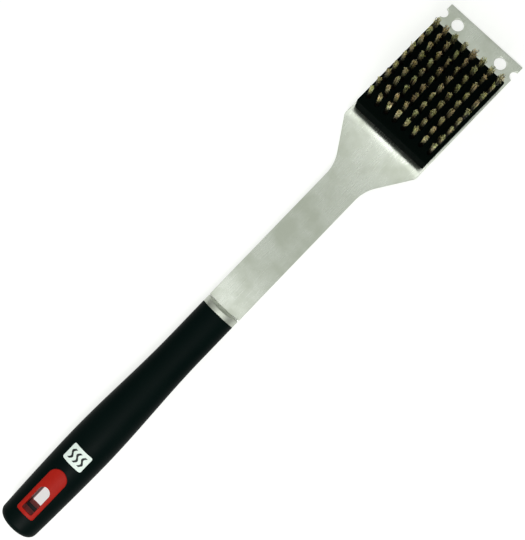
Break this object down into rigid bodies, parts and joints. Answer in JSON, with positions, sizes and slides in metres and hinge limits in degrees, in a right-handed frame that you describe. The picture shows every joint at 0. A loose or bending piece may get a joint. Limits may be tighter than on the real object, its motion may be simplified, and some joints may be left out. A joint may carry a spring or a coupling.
{
  "type": "grill cleaning brush",
  "caption": "Long grill cleaning brush: a gently bent stainless blade with a scraper end, a block of wire tufts on the head, and an oval grip with a hanging slot.",
  "frame": {"origin": "middle of the tool's length and width, on the surface that the tool lies on with its bristles up", "axes": "+X from the grip's end to the scraper's edge, +Y to the left seen from above the bristles, +Z out of the bristle side"},
  "size_m": [0.45, 0.064, 0.0416],
  "materials": {
    "stainless_sheet": "satin, grained along the tool",
    "polished_ferrule": "polished, pressed sheet",
    "black_grip": "satin moulding",
    "red_insert": "semi-gloss moulding",
    "zinc_fastener": "bright zinc",
    "black_block": "satin moulding",
    "staple_wire": "flat drawn wire",
    "white_ink": "pad-printed ink on the grip",
    "brass_wire": "bright drawn wire, cut ends"
  },
  "bodies": {
    "root": {"blade": "stainless_sheet", "ferrule": "polished_ferrule", "grip_upper_shell": "black_grip", "grip_lower_shell": "black_grip", "upper_insert": "red_insert", "lower_insert": "red_insert", "tang_screw": "zinc_fastener", "tang_nut": "zinc_fastener", "bristle_block": "black_block", "block_screws": "zinc_fastener", "tuft_staples": "staple_wire", "tuft_row_1": "brass_wire", "tuft_row_2": "brass_wire", "tuft_row_3": "brass_wire", "tuft_row_4": "brass_wire", "tuft_row_5": "brass_wire", "tuft_row_6": "brass_wire", "tuft_row_7": "brass_wire", "tuft_row_8": "brass_wire", "tuft_row_9": "brass_wire"}
  },
  "joints": []
}
